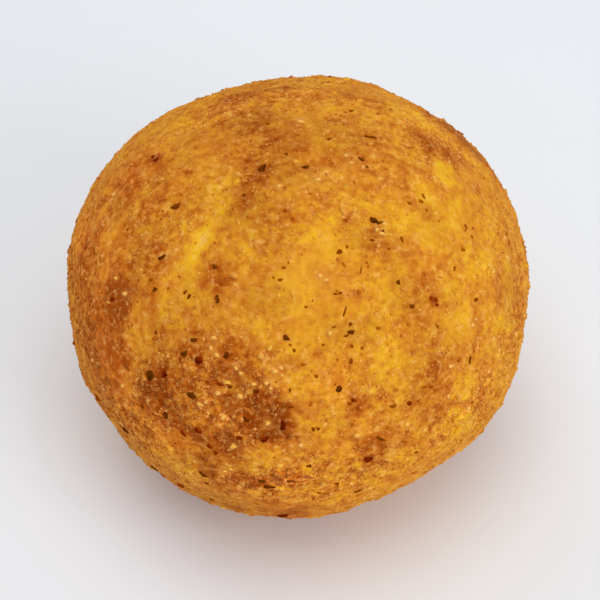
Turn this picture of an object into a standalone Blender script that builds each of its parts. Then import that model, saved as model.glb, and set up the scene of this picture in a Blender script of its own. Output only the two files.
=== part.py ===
"""An arancino: one fried rice ball in a crust of golden breadcrumbs.

The whole ball is one closed solid, in metres, +Z up. It rests on a small flat spot at z = 0, and the
origin is the middle of its underside. The ball is a squat, slightly boxy round, as palms press it, with
low shoulders and hollows. Its crust is relief in the solid: a bump or a pit at every point of the mesh,
and the coarser crumbs and herb flakes standing proud as small chips fused to it.
"""

import math
import random

import bmesh
import bpy
from mathutils import Matrix, Vector, noise

# Size of the ball, which its crust's relief widens by up to 1 mm
BALL_WIDTH = 0.0850
BALL_DEPTH = 0.0840
BALL_HEIGHT = 0.0765
RESTING_SPOT_WIDTH = 0.0270

# How boxy the round is: 2 is a true ellipsoid, and more has fuller shoulders
BOXINESS = 2.02

# Crust relief
CRUST_POINTS = 3540
CRUMB_BUMP = 0.00022
CRAG_HEIGHT = 0.00050
CRAG_WIDTH = 0.0052
SWELL_HEIGHT = 0.00045
SWELL_WIDTH = 0.0220

# Coarse crumbs fused to the crust
CRUMB_COUNT = 96
CRUMB_WIDTH = (0.0015, 0.0026)
CRUMB_SLENDERNESS = (0.65, 1.0)
CRUMB_PROUD = (0.00035, 0.00070)
CRUMB_JITTER = 0.20

# Flakes of dried herb fused to the crust
FLAKE_COUNT = 24
FLAKE_LENGTH = (0.0017, 0.0027)
FLAKE_WIDTH = (0.0008, 0.0012)
FLAKE_PROUD = 0.00028

# How deep every chip is rooted in the crust, how far apart they stand and how far off the resting face
ROOT_DEPTH = 0.00080
CHIP_GAP = 0.0034
CLEAR_OF_FLOOR = 0.0060

# The patch where the coarse crumbs lie thickest, as azimuth and elevation in degrees, and how wide it is
COARSE_PATCH = (243.0, 14.0)
COARSE_PATCH_SPREAD = 38.0
COARSE_ELSEWHERE = 0.42

# Low forms pressed into the ball by hand: azimuth and elevation in degrees, height and angular spread
PRESSED_FORMS = (
    ("right shoulder", 25.0, 24.0, 0.00075, 24.0),
    ("crown hollow", 112.0, 39.0, -0.00085, 26.0),
    ("left shoulder", 155.0, 21.0, 0.00095, 24.0),
    ("left flank hollow", 207.0, -21.0, -0.00065, 18.0),
    ("front left swell", 245.0, -38.0, 0.00085, 24.0),
    ("front right hollow", 308.0, -34.0, -0.00105, 22.0),
    ("right cheek", 332.0, -21.0, 0.00110, 15.0),
    ("right flank", 4.0, 3.0, 0.00040, 10.0),
    ("back right hollow", 51.0, 35.0, -0.00050, 12.0),
    ("back ridge", 72.0, 39.0, 0.00075, 9.0),
    ("front facet", 262.0, 26.0, -0.00060, 28.0),
    ("top facet", 292.0, 72.0, -0.00045, 30.0),
    ("back facet", 78.0, -8.0, -0.00060, 30.0),
)

CRUST_COLOUR = (0.58, 0.27, 0.055, 1.0)
CRUST_ROUGHNESS = 0.62
SEED = 417


def clear_scene():
    """Remove what the scene holds, so that only the arancino is left in it."""
    for thing in list(bpy.data.objects):
        bpy.data.objects.remove(thing, do_unlink=True)


def direction(azimuth, elevation):
    """Unit vector at an azimuth and an elevation in degrees."""
    a = math.radians(azimuth)
    e = math.radians(elevation)
    return Vector((math.cos(e) * math.cos(a), math.cos(e) * math.sin(a), math.sin(e)))


def even_directions(count):
    """Unit vectors spread evenly over a sphere, along one golden-angle spiral from top to bottom."""
    golden_angle = math.pi * (3.0 - math.sqrt(5.0))
    found = []
    for i in range(count):
        z = 1.0 - (2.0 * i + 1.0) / count
        ring = math.sqrt(1.0 - z * z)
        turn = i * golden_angle
        found.append(Vector((ring * math.cos(turn), ring * math.sin(turn), z)))
    return found


def half_axes():
    """Half width, half depth and half height of the round before its underside is flattened."""
    across = RESTING_SPOT_WIDTH / (0.5 * (BALL_WIDTH + BALL_DEPTH))
    left_of_height = (1.0 - across ** BOXINESS) ** (1.0 / BOXINESS)
    return 0.5 * BALL_WIDTH, 0.5 * BALL_DEPTH, BALL_HEIGHT / (1.0 + left_of_height)


def pressed_height(towards):
    """Height of the pressed forms and of the long uneven swells in one direction."""
    height = 0.0
    for _name, azimuth, elevation, rise, spread in PRESSED_FORMS:
        apart = math.degrees(towards.angle(direction(azimuth, elevation)))
        height += rise * math.exp(-((apart / spread) ** 2))
    where = towards * (0.5 * BALL_WIDTH / SWELL_WIDTH)
    return height + SWELL_HEIGHT * noise.noise(where)


def smooth_radius(towards):
    """Distance from the middle of the ball to its surface, before the crust's own relief."""
    sides = zip(towards, half_axes())
    total = sum(abs(part / half) ** BOXINESS for part, half in sides)
    return total ** (-1.0 / BOXINESS) + pressed_height(towards)


def crag(towards):
    """Relief of the crust, a few millimetres across."""
    where = towards * (0.5 * BALL_WIDTH / CRAG_WIDTH) + Vector((31.0, 7.0, 19.0))
    return CRAG_HEIGHT * noise.noise(where)


def build_ball(draw):
    """The closed ball with its crust relief, centred on the origin."""
    mesh = bmesh.new()
    for towards in even_directions(CRUST_POINTS):
        mesh.verts.new(towards)
    bmesh.ops.convex_hull(mesh, input=mesh.verts[:])
    mesh.verts.ensure_lookup_table()
    for vert in mesh.verts:
        towards = vert.co.normalized()
        bump = CRUMB_BUMP * draw.uniform(-1.0, 1.0)
        vert.co = towards * (smooth_radius(towards) + crag(towards) + bump)
    return mesh


def flatten_underside(mesh):
    """Cut the ball off level at its resting height and close the cut with one flat face."""
    level = half_axes()[2] - BALL_HEIGHT
    everything = mesh.verts[:] + mesh.edges[:] + mesh.faces[:]
    cut = bmesh.ops.bisect_plane(
        mesh,
        geom=everything,
        dist=1e-7,
        plane_co=(0.0, 0.0, level),
        plane_no=(0.0, 0.0, 1.0),
        clear_inner=True,
    )
    rim = [item for item in cut["geom_cut"] if isinstance(item, bmesh.types.BMEdge)]
    bmesh.ops.contextual_create(mesh, geom=rim)
    bmesh.ops.recalc_face_normals(mesh, faces=mesh.faces[:])
    return level


def crumb_mesh(draw):
    """One coarse crumb of unit width: a lopsided icosahedron."""
    mesh = bmesh.new()
    bmesh.ops.create_icosphere(mesh, subdivisions=1, radius=0.5)
    for vert in mesh.verts:
        vert.co *= 1.0 + CRUMB_JITTER * draw.uniform(-1.0, 1.0)
    return mesh


def flake_mesh():
    """One herb flake of unit length and width: a thin six-sided lozenge with a tapered top."""
    mesh = bmesh.new()
    bmesh.ops.create_cone(mesh, cap_ends=True, segments=6, radius1=0.5, radius2=0.36, depth=1.0)
    return mesh


def rooted_chip(name, mesh, towards, size, turn):
    """Make a chip of a unit mesh: sized, turned on the spot, stood on the crust and rooted in it."""
    height = size[2]
    middle = smooth_radius(towards) + crag(towards) + 0.5 * height - ROOT_DEPTH
    upright = Vector((0.0, 0.0, 1.0)).rotation_difference(towards).to_matrix().to_4x4()
    place = Matrix.Translation(towards * middle) @ upright @ Matrix.Rotation(turn, 4, "Z")
    bmesh.ops.transform(mesh, matrix=place @ Matrix.Diagonal((*size, 1.0)), verts=mesh.verts)
    data = bpy.data.meshes.new(name)
    mesh.to_mesh(data)
    mesh.free()
    return bpy.data.objects.new(name, data)


def coarse_share(towards):
    """How likely a coarse crumb is to stay in one direction, from the patch where they lie thickest."""
    apart = math.degrees(towards.angle(direction(*COARSE_PATCH)))
    patch = math.exp(-((apart / COARSE_PATCH_SPREAD) ** 2))
    return COARSE_ELSEWHERE + (1.0 - COARSE_ELSEWHERE) * patch


def even_share(_towards):
    """Herb flakes are as likely in one direction as in any other."""
    return 1.0


def scattered(draw, count, taken, share):
    """Directions for the chips: kept apart from those already taken and clear of the resting face."""
    lowest = half_axes()[2] - BALL_HEIGHT + CLEAR_OF_FLOOR
    found = []
    while len(found) < count:
        z = draw.uniform(-1.0, 1.0)
        turn = draw.uniform(0.0, 2.0 * math.pi)
        ring = math.sqrt(1.0 - z * z)
        towards = Vector((ring * math.cos(turn), ring * math.sin(turn), z))
        stays = draw.random() < share(towards)
        foot = towards * smooth_radius(towards)
        if not stays or foot.z < lowest:
            continue
        if all((foot - other).length > CHIP_GAP for other in taken):
            taken.append(foot)
            found.append(towards)
    return found


def build_chips(draw, shelf):
    """Coarse crumbs and herb flakes, each a small closed mesh in the collection that is fused."""
    taken = []
    for i, towards in enumerate(scattered(draw, CRUMB_COUNT, taken, coarse_share)):
        width = draw.uniform(*CRUMB_WIDTH)
        breadth = width * draw.uniform(*CRUMB_SLENDERNESS)
        height = ROOT_DEPTH + draw.uniform(*CRUMB_PROUD)
        turn = draw.uniform(0.0, 2.0 * math.pi)
        chip = rooted_chip(f"crumb_{i}", crumb_mesh(draw), towards, (width, breadth, height), turn)
        shelf.objects.link(chip)
    for i, towards in enumerate(scattered(draw, FLAKE_COUNT, taken, even_share)):
        length = draw.uniform(*FLAKE_LENGTH)
        breadth = draw.uniform(*FLAKE_WIDTH)
        height = ROOT_DEPTH + FLAKE_PROUD
        turn = draw.uniform(0.0, 2.0 * math.pi)
        chip = rooted_chip(f"flake_{i}", flake_mesh(), towards, (length, breadth, height), turn)
        shelf.objects.link(chip)


def fuse(ball, shelf):
    """Join every chip to the ball in one union, apply it and remove the loose chips."""
    union = ball.modifiers.new("Fuse chips", "BOOLEAN")
    union.operation = "UNION"
    union.operand_type = "COLLECTION"
    union.collection = shelf
    union.solver = "EXACT"
    bpy.context.view_layer.objects.active = ball
    ball.select_set(True)
    bpy.ops.object.modifier_apply(modifier=union.name)
    for chip in list(shelf.objects):
        bpy.data.objects.remove(chip, do_unlink=True)
    bpy.data.collections.remove(shelf)


def stand_on_origin(ball, level):
    """Move the mesh so that the underside is at z = 0 and the box is centred on the origin."""
    points = [vert.co for vert in ball.data.vertices]
    middle_x = 0.5 * (min(p.x for p in points) + max(p.x for p in points))
    middle_y = 0.5 * (min(p.y for p in points) + max(p.y for p in points))
    for vert in ball.data.vertices:
        on_floor = abs(vert.co.z - level) < 1e-6
        vert.co.x -= middle_x
        vert.co.y -= middle_y
        vert.co.z = 0.0 if on_floor else vert.co.z - level


def crust_material():
    """Golden fried breadcrumb."""
    material = bpy.data.materials.new("golden crumb crust")
    material.use_nodes = True
    shader = material.node_tree.nodes["Principled BSDF"]
    shader.inputs["Base Color"].default_value = CRUST_COLOUR
    shader.inputs["Roughness"].default_value = CRUST_ROUGHNESS
    shader.inputs["Metallic"].default_value = 0.0
    material.diffuse_color = CRUST_COLOUR
    return material


def build_arancino():
    """Model the whole arancino as one object."""
    draw = random.Random(SEED)
    mesh = build_ball(draw)
    level = flatten_underside(mesh)
    data = bpy.data.meshes.new("arancino")
    mesh.to_mesh(data)
    mesh.free()
    ball = bpy.data.objects.new("arancino", data)
    bpy.context.scene.collection.objects.link(ball)
    shelf = bpy.data.collections.new("chips")
    bpy.context.scene.collection.children.link(shelf)
    build_chips(draw, shelf)
    fuse(ball, shelf)
    stand_on_origin(ball, level)
    ball.data.materials.clear()
    ball.data.materials.append(crust_material())
    ball.data.shade_smooth()


clear_scene()
build_arancino()
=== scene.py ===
"""An arancino as it looks: a fried rice ball in a crust of golden breadcrumbs with herb flecks.

The script loads the packed solid as its frame, lays the visible crust over it, scatters crumbs, herb
flakes and burnt specks on the crust, and sets up a plain studio.
"""

import math
from typing import NamedTuple

import bpy
import numpy as np
from bpy.props import FloatProperty, FloatVectorProperty, IntProperty, PointerProperty
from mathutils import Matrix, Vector, noise
from mathutils.bvhtree import BVHTree


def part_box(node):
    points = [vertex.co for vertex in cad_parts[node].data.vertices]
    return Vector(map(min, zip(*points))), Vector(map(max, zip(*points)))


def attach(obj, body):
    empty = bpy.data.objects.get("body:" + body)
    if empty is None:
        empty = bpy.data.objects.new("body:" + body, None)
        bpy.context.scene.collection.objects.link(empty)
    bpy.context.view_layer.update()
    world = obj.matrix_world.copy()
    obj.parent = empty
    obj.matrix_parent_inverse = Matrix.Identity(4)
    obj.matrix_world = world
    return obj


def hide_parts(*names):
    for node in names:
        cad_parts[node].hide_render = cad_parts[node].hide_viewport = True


bl_info = {
    "name": "Arancino",
    "version": (1, 0, 0),
    "blender": (4, 5, 0),
    "location": "View3D > Sidebar > Arancino",
    "description": "Models a fried rice ball with its crust, crumbs and herb flecks",
    "category": "Object",
}

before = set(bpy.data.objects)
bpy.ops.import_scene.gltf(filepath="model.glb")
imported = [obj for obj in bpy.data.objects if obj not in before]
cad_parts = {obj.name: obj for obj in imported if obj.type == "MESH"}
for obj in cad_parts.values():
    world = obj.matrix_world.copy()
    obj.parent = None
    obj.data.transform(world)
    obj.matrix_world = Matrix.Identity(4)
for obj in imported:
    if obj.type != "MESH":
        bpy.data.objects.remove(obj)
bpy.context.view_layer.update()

MM = 0.001
BALL = "arancino"
BODY = "root"
# Width of the photograph in pixels, and of the camera's sensor in millimetres.
PHOTO_WIDTH = 600
SENSOR = 36.0


class Area(NamedTuple):
    """An area of the crust: the pixel of the photograph at its middle, its half length and half width in
    millimetres, its turn in degrees anticlockwise from the picture's right, and how strong it is."""

    name: str
    x: int
    y: int
    half_length: float
    half_width: float
    turn: float
    amount: float


class Mark(NamedTuple):
    """A small piece that the photograph shows: the pixel at its middle, its length and width in pixels, and
    its turn in degrees anticlockwise from the picture's right."""

    x: int
    y: int
    length: int
    width: int
    turn: float


# Where the crust is browner.
BROWNED_AREAS = (
    ("left side", 92, 298, 24.0, 8.0, 88, 0.24),
    ("lower left side", 116, 404, 12.0, 6.0, -56, 0.12),
    ("left middle", 138, 264, 9.0, 6.0, 80, 0.15),
    ("lower left", 177, 434, 9.0, 5.0, -40, 0.23),
    ("underneath in front", 270, 508, 20.0, 8.0, 0, 0.12),
    ("upper left", 150, 160, 8.0, 6.0, 45, 0.08),
    # Round the crown, part of the browning is painted shade over the crust's own brown.
    ("crown", 264, 150, 10.0, 7.0, 20, 0.10),
    ("lower right side", 372, 440, 8.0, 6.0, 20, 0.08),
    ("front left toast", 222, 390, 13.0, 8.0, -27, 0.24),
    ("front left toast, lower", 244, 434, 7.0, 4.0, -10, 0.21),
    ("dark edge of the toast", 273, 420, 4.4, 3.4, -60, 0.42),
    ("dark halo by the big fleck", 155, 384, 3.0, 3.0, 0, 0.20),
    ("round the big fleck", 148, 395, 8.0, 6.0, -45, 0.15),
    ("left rim rust", 117, 301, 4.4, 3.6, 80, 0.48),
    ("left rim rust, under", 108, 328, 5.0, 5.0, -75, 0.08),
    ("left rim rust, lower", 100, 352, 8.0, 5.0, -70, 0.10),
    ("left flank", 72, 300, 22.0, 13.0, 88, 0.16),
    # Along the lower left flank and foot, part of the browning is painted shade.
    ("lower left flank", 140, 457, 24.0, 13.0, -43, 0.22),
    ("lower left foot", 238, 506, 9.0, 9.0, -14, 0.10),
    ("lower left foot, inner", 152, 456, 8.0, 4.0, -45, 0.10),
    ("crown brown", 268, 132, 6.0, 4.0, -30, 0.17),
    ("crown brown, left", 224, 126, 8.0, 5.0, 20, 0.11),
    ("back brown", 332, 118, 4.0, 2.6, 0, 0.10),
    ("upper left brown", 180, 182, 3.6, 2.6, 30, 0.09),
    ("upper left brown, above", 186, 166, 4.4, 3.0, 30, 0.09),
    ("lower left rust", 121, 355, 4.4, 3.0, 60, 0.34),
    ("foot of the streak, right", 152, 328, 3.6, 2.6, 60, 0.12),
    ("below the big fleck", 150, 392, 3.0, 2.6, 60, 0.26),
    ("left of the toast, lower", 182, 424, 5.0, 3.4, -30, 0.18),
    ("under the toast", 240, 447, 5.0, 2.4, -10, 0.28),
    ("above the toast", 240, 345, 4.0, 3.0, 0, 0.10),
    ("left of the bottom yellow", 212, 450, 5.0, 3.6, -30, 0.12),
    ("right of the toast, lower", 302, 420, 8.0, 3.0, 0, 0.09),
    ("in the right yellow", 420, 212, 2.6, 1.8, -60, 0.14),
    ("in the right yellow, right", 445, 196, 2.4, 1.7, 80, 0.20),
    ("in the right yellow, lower", 452, 238, 3.0, 2.4, 0, 0.07),
    ("crown streak", 254, 186, 5.0, 3.2, 50, 0.16),
    ("crown streak, top", 242, 152, 3.4, 3.0, 0, 0.12),
    ("crown streak, edge", 238, 206, 2.8, 2.2, 80, 0.20),
    ("crown streak, right", 278, 214, 4.8, 2.6, 10, 0.16),
    ("brown beside the streak", 217, 274, 4.4, 2.8, -40, 0.25),
    ("right shoulder rust", 463, 138, 9.5, 4.2, -42, 0.72),
    ("right shoulder brown", 437, 147, 6.6, 3.6, -24, 0.22),
    ("right shoulder brown, left", 394, 150, 4.0, 3.0, 0, 0.05),
    ("right shoulder brown, right", 452, 152, 4.4, 3.4, -40, 0.18),
    ("back ridge brown", 352, 158, 6.0, 4.0, -10, 0.07),
    ("right red spot", 435, 301, 1.3, 1.3, 0, 0.50),
    ("round the right red spot", 422, 297, 4.2, 5.0, 0, 0.14),
    ("left red spot", 156, 159, 1.4, 1.1, 0, 0.42),
    ("lower red spot", 354, 401, 2.4, 1.8, -60, 0.34),
    ("between the lower right yellows", 480, 408, 5.0, 1.8, -30, 0.16),
    ("lower right brown", 434, 400, 5.4, 4.4, 30, 0.19),
    ("lower brown", 371, 450, 5.5, 2.6, 70, 0.21),
    ("lower brown, above", 358, 420, 3.0, 2.4, 0, 0.07),
    ("bottom brown", 264, 481, 8.0, 2.8, 5, 0.36),
    ("bottom left brown", 206, 470, 6.0, 2.6, -35, 0.16),
    ("bottom tip", 290, 515, 3.4, 5.4, 0, 0.34),
    ("right light brown", 464, 350, 4.5, 3.0, 20, 0.10),
    ("right light brown, left", 444, 366, 5.0, 3.0, 30, 0.11),
    ("right rim", 518, 296, 9.0, 3.4, 90, 0.09),
    ("right rim line", 500, 294, 5.0, 1.8, 84, 0.13),
    ("upper middle blush", 370, 242, 4.0, 3.4, 0, 0.10),
    ("top rim", 292, 92, 18.0, 4.0, 0, 0.12),
    ("top rim, left", 252, 92, 8.0, 3.8, 8, 0.26),
    ("crown brown, right", 330, 208, 3.4, 2.6, 0, 0.07),
    ("upper left blush", 140, 175, 7.0, 5.0, 50, 0.09),
    ("upper left blush, lower", 152, 208, 3.6, 3.0, 0, 0.08),
    ("left of the toast, above", 151, 364, 3.6, 3.2, 0, 0.13),
    ("left of the toast", 180, 394, 4.0, 4.0, 0, 0.07),
    ("right of the toast, under", 298, 450, 4.0, 3.0, 0, 0.07),
    ("right light brown, right", 480, 368, 3.4, 2.4, 40, 0.06),
)
# Where the crust is paler than it is between the marked areas.
PALE_AREAS = (
    ("right shoulder yellow", 443, 173, 4.0, 2.3, 74, 0.30),
    ("right yellow, upper", 426, 196, 3.4, 1.8, -36, 0.24),
    ("right yellow, right", 456, 216, 4.0, 2.0, 82, 0.22),
    ("right yellow", 431, 232, 6.4, 3.4, 0, 0.18),
    ("right yellow, lower", 452, 288, 4.4, 3.0, 0, 0.07),
    ("right flank yellow", 479, 264, 4.0, 2.9, 10, 0.21),
    ("right flank yellow, lower", 458, 328, 5.0, 3.4, 80, 0.15),
    ("right rim yellow", 500, 326, 6.0, 4.4, 80, 0.19),
    ("long streak, head", 201, 244, 4.6, 1.9, 62, 0.34),
    ("long streak", 180, 284, 8.5, 3.0, 60, 0.14),
    ("long streak, top", 220, 192, 5.6, 2.6, 66, 0.09),
    ("long streak, foot", 141, 343, 4.4, 2.6, 72, 0.18),
    ("middle yellow", 330, 242, 5.6, 3.8, 5, 0.26),
    ("middle yellow, lower", 292, 286, 6.0, 4.8, 60, 0.17),
    ("left of the middle", 270, 330, 3.4, 3.0, 0, 0.14),
    ("middle", 312, 330, 7.0, 5.0, 80, 0.09),
    ("lower yellow", 390, 358, 4.6, 3.6, 60, 0.17),
    ("lower middle yellow, above", 328, 390, 4.5, 4.0, 60, 0.10),
    ("lower middle yellow", 338, 424, 4.4, 3.6, 60, 0.05),
    ("lower right yellow", 467, 388, 3.8, 2.6, -30, 0.22),
    ("lower right yellow, under", 459, 424, 6.0, 3.0, -39, 0.30),
    ("bottom yellow", 258, 456, 3.2, 2.4, 20, 0.25),
    ("crown yellow", 316, 180, 5.0, 3.0, 0, 0.08),
    ("right of middle", 386, 306, 5.0, 4.0, 60, 0.10),
    ("right of the middle yellow", 360, 268, 4.0, 3.0, 0, 0.08),
    ("left of the crown streak", 232, 178, 3.4, 3.0, 0, 0.10),
    ("upper left gold, lower", 184, 214, 5.0, 3.4, 20, 0.06),
    ("left rim, upper", 100, 240, 6.0, 5.0, 80, 0.11),
    ("right of the streak", 238, 256, 5.4, 3.4, 80, 0.06),
    ("left of the big fleck", 122, 380, 3.4, 2.8, 0, 0.11),
    ("in the toast, lower left", 212, 420, 3.4, 2.8, 0, 0.10),
    ("right of the middle yellow, above", 366, 212, 5.0, 3.0, 0, 0.08),
    ("right flank, far", 492, 244, 4.0, 3.0, 80, 0.10),
    ("crown yellow, back", 316, 152, 5.0, 3.0, 0, 0.05),
    ("bottom right rim", 350, 508, 12.0, 7.0, 10, 0.07),
    ("right lower flank", 500, 424, 16.0, 8.0, 55, 0.10),
    ("above the right of middle", 400, 222, 5.0, 3.6, 0, 0.08),
    ("back right yellow", 420, 119, 5.0, 3.0, -20, 0.24),
)
# Where the crust is as pale as bread.
BREADY_AREAS = (
    ("long streak, head", 201, 244, 2.1, 0.9, 55, 0.60),
    ("right flank", 486, 268, 1.1, 0.9, 0, 0.10),
    ("middle", 324, 241, 1.4, 1.0, 60, 0.12),
    ("crown", 318, 180, 5.0, 3.4, 0, 0.05),
    ("middle, below", 300, 284, 8.0, 5.0, 60, 0.03),
    ("lower right, far", 460, 424, 4.0, 3.0, 0, 0.04),
    # Painted shade: the greyer colour of the shaded lower left foot.
    ("lower left foot", 150, 460, 17.0, 10.0, -42, 0.12),
    # Painted sheen: the paler, bluer rim at the lower right.
    ("lower right rim", 490, 410, 26.0, 8.0, 58, 0.11),
)
# Painted shade where the crust is darker than its browning makes it, and, where the amount is negative,
# painted light where it is lighter.
PAINTED_SHADE_AND_LIGHT_AREAS = (
    ("left side", 94, 312, 22.0, 9.0, 88, -0.27),
    ("lower left side", 116, 366, 6.0, 5.0, -60, -0.23),
    ("upper left", 138, 170, 10.0, 6.0, 50, -0.14),
    ("upper left brown", 184, 180, 3.6, 3.0, 0, -0.09),
    ("left of the crown", 212, 152, 3.6, 3.0, 0, -0.08),
    ("crown streak, left", 240, 206, 4.4, 3.4, 60, 0.06),
    ("in the toast, high", 212, 362, 3.4, 3.0, 0, -0.08),
    ("right of the crown streak", 362, 212, 5.6, 3.0, 0, 0.05),
    ("above the streak", 216, 112, 7.0, 4.0, 30, -0.17),
    ("crown", 268, 166, 8.0, 5.0, 78, 0.12),
    ("right of the streak", 258, 212, 6.0, 3.4, 10, 0.10),
    ("crown, right", 330, 134, 10.0, 5.0, 0, 0.12),
    ("right of the middle", 362, 238, 3.4, 3.0, 0, 0.14),
    ("round the right red spot", 410, 288, 5.6, 5.0, 60, 0.13),
    ("above the lower yellow", 364, 330, 3.4, 3.0, 0, 0.12),
    ("right light brown", 432, 350, 8.0, 5.0, 20, 0.09),
    ("lower right brown", 424, 392, 4.0, 3.0, 0, 0.10),
    ("right shoulder", 432, 152, 6.0, 4.0, -30, 0.09),
    ("right shoulder, right", 458, 152, 3.0, 3.4, -40, -0.08),
    ("in the right yellow", 432, 210, 3.0, 2.8, 0, 0.04),
    ("right rim", 512, 298, 8.0, 5.0, 88, 0.14),
    ("right yellow", 434, 226, 5.6, 3.6, 0, 0.06),
    ("right flank yellow", 479, 262, 4.4, 3.4, 0, 0.09),
    ("right of the toast, far", 360, 390, 3.0, 2.8, 0, 0.07),
    ("in the toast, left", 184, 394, 4.4, 3.4, 0, -0.18),
    ("in the toast, high right", 246, 388, 3.6, 3.0, 0, 0.12),
    ("lower left side, low", 118, 396, 3.4, 3.4, 0, 0.12),
    ("right flank", 482, 270, 3.4, 3.0, 0, -0.07),
    ("lower right rim", 424, 452, 4.4, 3.4, 0, -0.09),
    ("in the toast, middle", 240, 418, 3.0, 2.8, 0, -0.08),
    ("bottom, left of the middle", 290, 478, 6.0, 3.6, 5, -0.30),
    ("dark edge of the toast", 270, 416, 4.8, 3.6, -60, 0.16),
    ("bottom", 310, 492, 19.0, 7.0, 5, -0.14),
    ("lower left", 160, 422, 7.4, 4.4, -30, -0.32),
    ("lower left, right", 216, 420, 4.4, 3.4, 0, -0.29),
    ("lower left foot", 136, 455, 8.0, 9.0, -46, 0.28),
    ("lower left foot, right", 232, 507, 6.0, 9.0, -14, 0.20),
    ("lower left, rim", 146, 432, 9.0, 4.2, -48, -0.30),
    ("lower right yellow, under", 452, 422, 4.4, 3.4, 20, -0.18),
    ("lower right yellow", 480, 391, 4.4, 3.4, 60, -0.24),
    ("right of the toast", 330, 390, 4.6, 4.0, 0, -0.13),
    ("middle yellow, left", 272, 236, 4.0, 3.4, 0, 0.10),
    ("crown, left", 256, 120, 6.0, 5.0, 10, 0.14),
    ("crown yellow", 300, 176, 4.6, 3.4, 0, 0.09),
    ("above the lower yellow, left", 330, 332, 4.0, 3.0, 0, 0.08),
    ("beyond the right red spot", 452, 298, 3.0, 3.0, 0, 0.09),
    ("below the upper middle blush", 388, 244, 3.6, 3.6, 0, 0.08),
    ("middle, left", 268, 300, 4.6, 3.6, 0, 0.09),
    ("foot of the streak", 140, 322, 7.4, 3.0, 72, -0.10),
    ("left rim, upper", 80, 240, 6.0, 5.0, 80, -0.24),
    ("bottom left", 240, 482, 4.0, 3.2, 0, -0.22),
    ("in the toast, right", 272, 388, 3.4, 3.0, 0, -0.11),
    ("left of the streak", 172, 262, 6.4, 3.6, 66, -0.09),
    ("lower middle", 340, 450, 9.0, 3.4, 5, -0.09),
    ("under the toast, right", 268, 450, 4.0, 3.0, 0, -0.09),
    ("above the lower brown", 362, 422, 3.0, 2.8, 0, -0.09),
    ("above the right red spot", 420, 268, 3.4, 3.0, 0, -0.10),
    ("back right", 420, 122, 5.0, 3.4, -30, -0.07),
    ("top rim", 298, 92, 6.0, 3.0, 0, -0.07),
    ("middle", 298, 330, 3.4, 3.0, 0, -0.07),
    ("left, below the red spot", 150, 212, 3.0, 2.8, 0, -0.08),
    ("left rim, higher", 116, 209, 4.0, 3.4, 0, 0.17),
    ("left rim", 90, 270, 3.4, 4.0, 80, 0.12),
)
# Where crumbs lie coarse and thick, or, with a negative amount, where the crust is smooth.
CRUMBY_AREAS = (
    ("front left toast", 222, 396, 14.0, 9.5, -27, 0.58),
    ("bottom", 290, 484, 20.0, 7.0, 0, 0.46),
    ("lower left rim", 140, 430, 12.0, 5.0, -48, 0.30),
    ("left rim", 86, 330, 14.0, 4.0, 88, 0.16),
    ("round the big fleck", 150, 394, 7.0, 5.0, -45, 0.36),
    ("right lower rim", 490, 390, 15.0, 8.0, 62, 0.50),
    ("right rim", 520, 290, 12.0, 3.5, 90, 0.34),
    ("lower right", 420, 440, 12.0, 7.0, 30, 0.36),
    ("top rim", 290, 96, 20.0, 4.0, 0, 0.26),
    ("right shoulder", 450, 140, 9.0, 4.0, -35, 0.20),
    ("middle", 320, 300, 11.0, 9.0, 70, -0.22),
    ("long streak", 182, 270, 11.0, 4.0, 60, -0.30),
    ("right yellow", 446, 214, 8.0, 6.0, 30, -0.26),
    ("bottom yellow", 258, 456, 3.6, 2.8, 20, -0.40),
    ("left foot yellow", 142, 342, 4.4, 3.0, 70, -0.20),
)

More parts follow.
